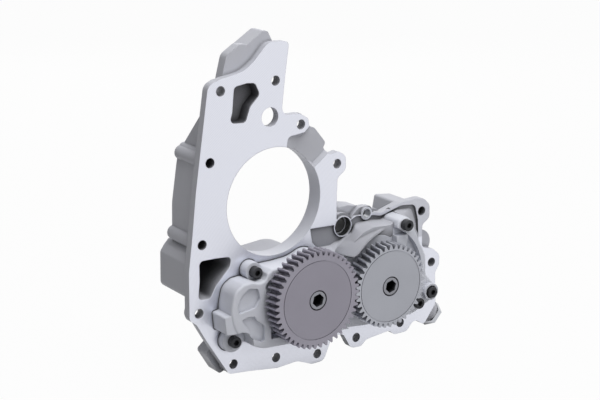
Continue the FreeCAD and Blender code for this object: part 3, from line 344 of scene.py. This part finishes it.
def housing_faces(tree, coordinates):
    """Masks of the milled joint face and of the crank bore."""
    place = coordinates.outputs["Object"]
    across, depth, height = split_axes(tree, place)
    on_face = both(tree, near(tree, depth, 0.0, FACE_TOLERANCE), faces_front(tree, coordinates))
    # The ear at the upper right and its lip are only half cleaned up by the cutter
    right = maths(tree, "GREATER_THAN", across, CAST_EAR_LEFT)
    cast_ear = both(tree, right, maths(tree, "GREATER_THAN", height, CAST_EAR_BOTTOM))
    on_face = both(tree, on_face, maths(tree, "MULTIPLY_ADD", cast_ear, -0.5, 1.0))
    return on_face, within(tree, place, CRANK_AXIS, BORE_REACH)


def with_painted_shade(tree, colour, coordinates):
    """Housing's colour with painted shade in its corners, pockets and openings."""
    place = coordinates.outputs["Object"]
    _, depth, height = split_axes(tree, place)
    # Painted shade darkens the corners and the deep ducts
    colour = scaled(tree, colour, occlusion_shade(tree, reach=5 * MM, darkest=0.55))
    colour = scaled(tree, colour, occlusion_shade(tree, reach=45 * MM, darkest=0.08, closed=0.12, clear=0.6))
    # Painted shade darkens the skin beside the second gear and the recess below the crank bore
    from_gear = circle_distance(tree, place, joint_place("intermediate_spin"))
    gear_shade = ramp(tree, from_gear, GEAR_SHADE_INNER, GEAR_SHADE_OUTER, low=0.3, high=0.0)
    gear_shade = both(tree, maths(tree, "LESS_THAN", depth, GEAR_SHADE_BACK), gear_shade)
    recess = both(tree, near(tree, depth, RECESS_FLOOR, RECESS_TOLERANCE), faces_front(tree, coordinates))
    recess = both(tree, recess, maths(tree, "LESS_THAN", height, RECESS_TOP))
    shade_amount = maths(tree, "MULTIPLY_ADD", recess, 0.38, gear_shade)
    colour = scaled(tree, colour, maths(tree, "SUBTRACT", 1.0, shade_amount))
    # Painted shade darkens the upper window's pocket
    in_window = both(tree, near(tree, depth, WINDOW_MIDDLE, WINDOW_HALF_DEPTH),
                     within(tree, place, UPPER_WINDOW, WINDOW_REACH))
    colour = scaled(tree, colour, maths(tree, "MULTIPLY_ADD", in_window, -0.55, 1.0))
    # Painted shade: the oil port's inside is painted near black
    in_port = both(tree, maths(tree, "GREATER_THAN", depth, PORT_START),
                   within(tree, place, mount_place("oil_port"), PORT_REACH))
    return blend_colours(tree, in_port, colour, linear("#0E0E10"))


def cast_and_milled_aluminium():
    """Housing: die cast skin, with a face-milled joint face and bored crank opening."""
    # The cast skin is matt grey with fine grain and faint flow marks; milled places are bright with arcs
    finish, surface, _ = sizes()
    material, tree, shader = metal("cast_and_milled_aluminium", metallic=0.05, roughness=0.5)
    coordinates = add(tree, "ShaderNodeTexCoord")
    place = coordinates.outputs["Object"]
    on_face, in_bore = housing_faces(tree, coordinates)
    milled = maths(tree, "MAXIMUM", on_face, in_bore)

    # Arcs of a large face mill whose centre runs along a line to the left of the part
    moved = add(tree, "ShaderNodeMapping", {"Vector": place, "Location": (0.35, 0.0, 0.1)}).outputs[0]
    arcs = add(tree, "ShaderNodeTexWave", {
        "Vector": moved, "Scale": WAVE_LENGTH / surface.tool_pitch, "Distortion": 0.4, "Detail": 1.0,
    }, wave_type="RINGS", rings_direction="Y").outputs["Fac"]
    mottle = grain(tree, place, size=35 * MM, detail=2.0)
    fine = grain(tree, place, surface.cast_grain)
    cast_colour = blend_colours(tree, mottle, shade(finish.cast, 0.84), shade(finish.cast, 1.1))
    # Painted highlight: the cast skin is painted lighter along its outer edges
    cast_colour = blend_colours(tree, edge_highlight(tree, amount=0.6), cast_colour, shade(finish.cast, 1.5))
    milled_colour = blend_colours(tree, arcs, shade(finish.milled, 0.9), linear(finish.milled))
    # Painted shade: the bore's wall is painted darker than the milled face
    milled_colour = blend_colours(tree, in_bore, milled_colour, shade(finish.milled, 0.75))
    colour = with_painted_shade(tree, blend_colours(tree, milled, cast_colour, milled_colour), coordinates)

    relief = add(tree, "ShaderNodeMix", {0: milled, 2: fine, 3: maths(tree, "MULTIPLY", arcs, 0.25)})
    rounded = rounded_normal(tree, surface.housing_edge)
    connect(
        tree, shader, Base_Color=colour,
        Roughness=ramp(tree, milled, 0.0, 1.0, low=0.55, high=0.36),
        Metallic=ramp(tree, on_face, 0.0, 1.0, low=0.05, high=0.85),
        Normal=bump(tree, relief.outputs[0], strength=0.35, depth=0.12 * MM, Normal=rounded))
    return material


def blasted_aluminium():
    """Cover: sand cast and shot blasted, an even dull grey."""
    # Blasting leaves fine dimples and takes the gloss off, so only the edges catch light
    finish, surface, _ = sizes()
    material, tree, shader = metal("blasted_cast_aluminium", metallic=0.1, roughness=0.55)
    place = add(tree, "ShaderNodeTexCoord").outputs["Object"]
    mottle = grain(tree, place, size=20 * MM, detail=2.0)
    colour = blend_colours(tree, mottle, shade(finish.cover, 0.86), shade(finish.cover, 1.12))
    # Painted highlight on the outer edges, and painted shade in the corners
    colour = blend_colours(tree, edge_highlight(tree, amount=0.6), colour, shade(finish.cover, 1.5))
    colour = scaled(tree, colour, occlusion_shade(tree, reach=5 * MM, darkest=0.7))
    dimples = grain(tree, place, 0.7 * surface.cast_grain)
    rounded = rounded_normal(tree, surface.cover_edge)
    normal = bump(tree, dimples, strength=0.4, depth=0.12 * MM, Normal=rounded)
    connect(tree, shader, Base_Color=colour, Normal=normal)
    return material


def hobbed_steel(name, hex_colour, joint, gear, line_radius):
    """Gear: case hardened steel with a turned side face and darker hobbed teeth."""
    # Turning rings show faintly on the side; the tooth gaps are painted darker towards their bottom as shade, and
    # the tips and edges lighter as a highlight
    material, tree, shader = metal(name, metallic=0.75, roughness=0.42)
    coordinates = add(tree, "ShaderNodeTexCoord")
    place = coordinates.outputs["Object"]
    radius = circle_distance(tree, place, joint_place(joint))
    rings = maths(tree, "SINE", maths(tree, "MULTIPLY", radius, 2 * math.pi / TURNING_PITCH))
    inside = maths(tree, "LESS_THAN", radius, line_radius)
    rim = blend_colours(tree, inside, shade(hex_colour, 1.12), linear(hex_colour))
    cloud = grain(tree, place, size=30 * MM, detail=1.0)
    face = blend_colours(tree, maths(tree, "MULTIPLY", cloud, 0.5), rim, shade(hex_colour, 0.8))
    spots = grain(tree, place, size=4 * MM)
    teeth = blend_colours(tree, spots, shade(hex_colour, 0.85), shade(hex_colour, 1.05))
    tip = tip_radius(gear)
    # Painted shade in the tooth gaps and painted highlight on the tips
    light = ramp(tree, radius, tip - TOOTH_REACH, tip - 0.1 * MM, low=0.12, high=1.15)
    teeth = scaled(tree, teeth, maths(tree, "POWER", light, 1.7))
    # Painted highlight on the teeth's edges
    highlit_edge = edge_highlight(tree, amount=0.35, reach=0.4 * MM)
    teeth = blend_colours(tree, highlit_edge, teeth, shade(hex_colour, 1.5))
    colour = blend_colours(tree, faces_front(tree, coordinates, limit=-0.8), teeth, face)
    seat = near(tree, radius, SHAFT_SEAT, width=0.5 * MM)
    colour = blend_colours(tree, seat, colour, shade(hex_colour, 0.12))
    fine = grain(tree, place, size=0.5 * MM)
    relief = maths(tree, "ADD", maths(tree, "MULTIPLY", rings, 0.3), fine)
    connect(tree, shader, Base_Color=colour, Normal=bump(tree, relief, strength=0.2, depth=0.05 * MM))
    return material


def turned_steel(name, hex_colour, metallic, roughness, grain_size, reach=10 * MM):
    """Turned or ground metal with fine grain along its surface and painted shade inside its holes."""
    material, tree, shader = metal(name, metallic, roughness)
    place = add(tree, "ShaderNodeTexCoord").outputs["Object"]
    stretched = add(tree, "ShaderNodeMapping", {"Vector": place, "Scale": (0.25, 1.0, 0.25)}).outputs[0]
    spots = grain(tree, stretched, grain_size)
    colour = blend_colours(tree, spots, shade(hex_colour, 0.85), shade(hex_colour, 1.1))
    # Painted shade in holes and sockets
    colour = scaled(tree, colour, occlusion_shade(tree, reach, darkest=0.04, clear=0.9))
    connect(tree, shader, Base_Color=colour, Normal=bump(tree, spots, strength=0.15, depth=0.05 * MM))
    return material


def port_sleeve_steel():
    """Sleeve of the oil port: turned steel with a bright faced end and a bore painted near black as shade."""
    material, tree, shader = metal("turned_port_steel", metallic=0.6, roughness=0.35)
    coordinates = add(tree, "ShaderNodeTexCoord")
    spots = grain(tree, coordinates.outputs["Object"], size=0.4 * MM)
    # Painted shade: the bore is painted near black
    painted_dark_bore = blend_colours(tree, spots, linear("#0B0B0D"), linear("#1A1A1E"))
    end = faces_front(tree, coordinates)
    connect(tree, shader, Base_Color=blend_colours(tree, end, painted_dark_bore, linear("#E4E6EC")))
    return material


def black_oxide_steel():
    """Screws: hot blackened alloy steel."""
    # Black oxide is thin and slightly oily, so it keeps a soft gloss; the grey on its edges is a painted highlight
    finish, _, _ = sizes()
    material, tree, shader = metal("black_oxide_steel", metallic=0.0, roughness=0.4)
    shader.inputs["Specular IOR Level"].default_value = 0.12
    place = add(tree, "ShaderNodeTexCoord").outputs["Object"]
    spots = grain(tree, place, size=1.2 * MM)
    colour = blend_colours(tree, spots, shade(finish.black_oxide, 0.7), shade(finish.black_oxide, 1.6))
    highlit_edge = edge_highlight(tree, amount=0.25, reach=0.3 * MM)
    colour = blend_colours(tree, highlit_edge, colour, linear("#8A8B90"))
    # Painted shade in the socket and the corners
    colour = scaled(tree, colour, occlusion_shade(tree, reach=6 * MM, darkest=0.1))
    connect(tree, shader, Base_Color=colour)
    return material


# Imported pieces

def dress(node, material):
    """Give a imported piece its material."""
    target = NODES[node]
    if not target.material_slots:
        target.data.materials.append(material)
    for slot in target.material_slots:
        slot.material = material


def smooth(node):
    """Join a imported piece's faces and shade it smooth; returns its object."""
    target = NODES[node]
    weld = target.modifiers.new("weld", "WELD")
    weld.merge_threshold = 1e-6
    target.data.shade_smooth()
    return target


def soften(node, width, segments=1):
    """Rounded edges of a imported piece, by modifiers that leave its own mesh as it is."""
    target = smooth(node)
    flatten = target.modifiers.new("flatten", "DECIMATE")
    flatten.decimate_type = "DISSOLVE"
    flatten.angle_limit = math.radians(1.0)
    flatten.delimit = {"NORMAL"}
    bevel = target.modifiers.new("bevel", "BEVEL")
    bevel.width = width
    bevel.segments = segments
    bevel.limit_method = "ANGLE"
    bevel.angle_limit = math.radians(40.0)
    bevel.harden_normals = True


def keep_edges(node, angle=30.0):
    """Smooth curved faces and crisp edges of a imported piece."""
    split = smooth(node).modifiers.new("edges", "EDGE_SPLIT")
    split.split_angle = math.radians(angle)
    split.use_edge_sharp = False


def wind_spring(material):
    """Relief valve's spring, copied from the imported piece and attached to the casing."""
    packed = "relief_valve_spring"
    spring = bpy.data.objects.new("valve_spring_wire", NODES[packed].data.copy())
    bpy.context.scene.collection.objects.link(spring)
    spring.data.materials.clear()
    spring.data.materials.append(material)
    spring.data.shade_smooth()
    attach(spring, "casing")
    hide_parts(packed)
    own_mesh(spring)


# Studio

def area_lamp(name, place, side, power):
    """Square soft lamp that points at the part."""
    data = bpy.data.lights.new(name, "AREA")
    data.energy = power
    data.size = side
    lamp = bpy.data.objects.new(name, data)
    lamp.location = place
    lamp.rotation_euler = (Vector(LAMP_TARGET) - Vector(place)).to_track_quat("-Z", "Y").to_euler()
    # Metal mirrors the white surroundings only, so a flat face doesn't burn out when it faces a lamp
    lamp.visible_glossy = False
    bpy.context.scene.collection.objects.link(lamp)


def place_camera(scene, studio):
    """Camera with the photo's angles and focal length."""
    turn, lift = studio.azimuth, studio.elevation
    back = Vector((math.sin(turn) * math.cos(lift), -math.cos(turn) * math.cos(lift), math.sin(lift)))
    data = bpy.data.cameras.new("camera")
    data.lens = studio.focal_pixels * data.sensor_width / IMAGE_WIDTH
    data.clip_end = 30.0
    camera = bpy.data.objects.new("camera", data)
    camera.location = studio.camera_place
    camera.rotation_euler = (-back).to_track_quat("-Z", "Y").to_euler()
    scene.collection.objects.link(camera)
    scene.camera = camera


def seen_directly(tree):
    """One for what is seen or mirrored, zero for the light that falls on the part."""
    path = add(tree, "ShaderNodeLightPath").outputs
    mirrored = maths(tree, "MAXIMUM", path["Is Glossy Ray"], path["Is Transmission Ray"])
    return maths(tree, "MAXIMUM", path["Is Camera Ray"], mirrored)


def light_world(scene, strength):
    """White surroundings that give little light of their own."""
    world = bpy.data.worlds.new("studio_world")
    world.use_nodes = True
    scene.world = world
    tree = world.node_tree
    background = tree.nodes["Background"]
    background.inputs["Color"].default_value = WHITE
    seen = seen_directly(tree)
    connect(tree, background, Strength=ramp(tree, seen, 0.0, 1.0, low=strength, high=1.0))


def lay_floor(scene, side):
    """Pale floor under the part, which fades into the white surroundings."""
    half = side / 2
    ground = CAD_BOX[0][2]
    corners = [(x, y, ground) for x, y in ((-half, -half), (half, -half), (half, half), (-half, half))]
    mesh = bpy.data.meshes.new("floor")
    mesh.from_pydata(corners, [], [(0, 1, 2, 3)])
    floor = bpy.data.objects.new("floor", mesh)
    scene.collection.objects.link(floor)
    material, tree, shader = metal("pale_paper_floor", metallic=0.0, roughness=0.9)
    shader.inputs["Base Color"].default_value = (0.42, 0.42, 0.42, 1.0)
    glow = add(tree, "ShaderNodeEmission", {"Color": WHITE, "Strength": 1.0})
    amount = maths(tree, "MULTIPLY", seen_directly(tree), 0.97)
    mixed = add(tree, "ShaderNodeMixShader", {0: amount, 1: shader.outputs[0], 2: glow.outputs[0]})
    connect(tree, tree.nodes["Material Output"], Surface=mixed.outputs[0])
    mesh.materials.append(material)


# Operators

class PUMP_OT_studio(bpy.types.Operator):
    """Set up the camera, the lamps, the world and the pale floor."""

    bl_idname = "pump.studio"
    bl_label = "Studio"

    def execute(self, context):
        scene = context.scene
        studio = scene.pump_studio
        scene.view_settings.view_transform = "Standard"
        place_camera(scene, studio)
        area_lamp("key_lamp", (0.1, -0.5, 1.5), side=1.1, power=studio.key_power)
        area_lamp("front_lamp", (-0.05, -0.8, 0.45), side=0.8, power=studio.front_power)
        area_lamp("side_lamp", (-1.6, -0.6, 0.6), side=1.0, power=studio.side_power)
        area_lamp("rear_lamp", (1.0, 1.7, 0.8), side=1.3, power=studio.rear_power)
        light_world(scene, studio.world)
        lay_floor(scene, studio.floor_size)
        return {"FINISHED"}


class PUMP_OT_housing(bpy.types.Operator):
    """Cast and mill the pump's housing."""

    bl_idname = "pump.housing"
    bl_label = "Housing"

    def execute(self, context):
        dress("pump_housing", cast_and_milled_aluminium())
        keep_edges("pump_housing")
        return {"FINISHED"}


class PUMP_OT_cover(bpy.types.Operator):
    """Cast and blast the cover."""

    bl_idname = "pump.cover"
    bl_label = "Cover"

    def execute(self, context):
        dress("pump_cover", blasted_aluminium())
        keep_edges("pump_cover")
        return {"FINISHED"}


class PUMP_OT_gears(bpy.types.Operator):
    """Finish the helical gear pair."""

    bl_idname = "pump.gears"
    bl_label = "Gears"

    def execute(self, context):
        finish = context.scene.pump_finish
        gears = (
            ("drive_gear", "drive_spin", "hobbed_steel_drive",
             finish.drive_gear, DRIVE_LINE),
            ("intermediate_gear", "intermediate_spin", "hobbed_steel_second",
             finish.second_gear, SECOND_LINE),
        )
        for gear, joint, name, hex_colour, line_radius in gears:
            dress(gear, hobbed_steel(name, hex_colour, joint, gear, line_radius))
            keep_edges(gear, angle=24.0)
        return {"FINISHED"}


class PUMP_OT_rotors(bpy.types.Operator):
    """Finish the pump rotors, which sintering leaves slightly porous."""

    bl_idname = "pump.rotors"
    bl_label = "Rotors"

    def execute(self, context):
        sintered = turned_steel(
            "sintered_steel", "#8E9095", metallic=0.8, roughness=0.45, grain_size=0.6 * MM)
        for node in ("drive_rotor", "driven_rotor"):
            dress(node, sintered)
            soften(node, width=0.15 * MM)
        return {"FINISHED"}


class PUMP_OT_turned_parts(bpy.types.Operator):
    """Finish shafts, sleeves, bushes, washers, rings, dowels and the valve's inner parts."""

    bl_idname = "pump.turned_parts"
    bl_label = "Turned parts"

    def execute(self, context):
        finish = context.scene.pump_finish
        # Ground steel has fine lines round the piece and a clear sheen
        ground = turned_steel(
            "ground_steel", finish.steel, metallic=0.85, roughness=0.3, grain_size=0.4 * MM)
        # The shafts' ends are faced and dull, and shade is painted deep into their sockets
        faced = turned_steel(
            "faced_steel", finish.shaft, metallic=0.75, roughness=0.42, grain_size=0.4 * MM, reach=16 * MM)
        # Cast bronze turned to size: warm, a little dull
        bronze = turned_steel(
            "turned_bronze", finish.bronze, metallic=0.85, roughness=0.4, grain_size=0.6 * MM)
        # Oil-tempered spring wire is dark with a bluish skin
        tempered = turned_steel(
            "oil_tempered_wire", "#4A4B52", metallic=0.8, roughness=0.35, grain_size=0.5 * MM)
        for node in NODES:
            if node.endswith("_bush"):
                dress(node, bronze)
            elif node.endswith("_ring"):
                dress(node, tempered)
            elif node.endswith("_shaft"):
                dress(node, faced)
            elif node.endswith(("_washer", "_dowels", "_piston")):
                dress(node, ground)
        wind_spring(tempered)
        dress("oil_port_sleeve", port_sleeve_steel())
        # The locating sleeve is open to both sides and bright
        bright = turned_steel(
            "turned_sleeve_steel", "#D8DAE0",
            metallic=0.85, roughness=0.35, grain_size=0.4 * MM, reach=3 * MM)
        dress("locating_sleeve", bright)
        for node in ("drive_shaft", "intermediate_shaft", "driven_shaft", "relief_valve_piston"):
            soften(node, width=0.15 * MM)
        return {"FINISHED"}


class PUMP_OT_fasteners(bpy.types.Operator):
    """Blacken the cover screws and plate the plugs."""

    bl_idname = "pump.fasteners"
    bl_label = "Fasteners"

    def execute(self, context):
        finish = context.scene.pump_finish
        dress("cover_screws", black_oxide_steel())
        soften("cover_screws", width=0.25 * MM, segments=2)
        # Zinc plate is bright and slightly blue
        zinc = turned_steel(
            "zinc_plated_steel", finish.zinc, metallic=0.85, roughness=0.32, grain_size=0.8 * MM)
        for node in ("relief_valve_plug", "gallery_plugs"):
            dress(node, zinc)
            soften(node, width=0.3 * MM, segments=2)
        # A soft aluminium washer is dull where it isn't squeezed
        soft = turned_steel("soft_aluminium", "#C4C5C9", metallic=0.8, roughness=0.45, grain_size=0.6 * MM)
        dress("relief_valve_seal", soft)
        return {"FINISHED"}


class PUMP_PT_sidebar(bpy.types.Panel):
    """Steps that dress the oil pump."""

    bl_idname = "PUMP_PT_sidebar"
    bl_label = "Oil Pump"
    bl_space_type = "VIEW_3D"
    bl_region_type = "UI"
    bl_category = "Oil Pump"

    def draw(self, context):
        for group in sizes():
            box = self.layout.box()
            for name in group.__annotations__:
                box.prop(group, name)
        for operator in OPERATORS:
            self.layout.operator(operator.bl_idname)


GROUPS = {"pump_finish": PumpFinish, "pump_surface": PumpSurface, "pump_studio": PumpStudio}
OPERATORS = (
    PUMP_OT_studio, PUMP_OT_housing, PUMP_OT_cover, PUMP_OT_gears, PUMP_OT_rotors, PUMP_OT_turned_parts,
    PUMP_OT_fasteners,
)


def register():
    """Add the classes and the scene's property groups."""
    for item in (*GROUPS.values(), *OPERATORS, PUMP_PT_sidebar):
        bpy.utils.register_class(item)
    for name, group in GROUPS.items():
        setattr(bpy.types.Scene, name, bpy.props.PointerProperty(type=group))


def unregister():
    """Remove what register adds."""
    for name in GROUPS:
        delattr(bpy.types.Scene, name)
    for item in (PUMP_PT_sidebar, *reversed(OPERATORS), *reversed(list(GROUPS.values()))):
        bpy.utils.unregister_class(item)


def main():
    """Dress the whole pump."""
    register()
    bpy.ops.pump.studio()
    bpy.ops.pump.housing()
    bpy.ops.pump.cover()
    bpy.ops.pump.gears()
    bpy.ops.pump.rotors()
    bpy.ops.pump.turned_parts()
    bpy.ops.pump.fasteners()


if __name__ == "__main__":
    main()
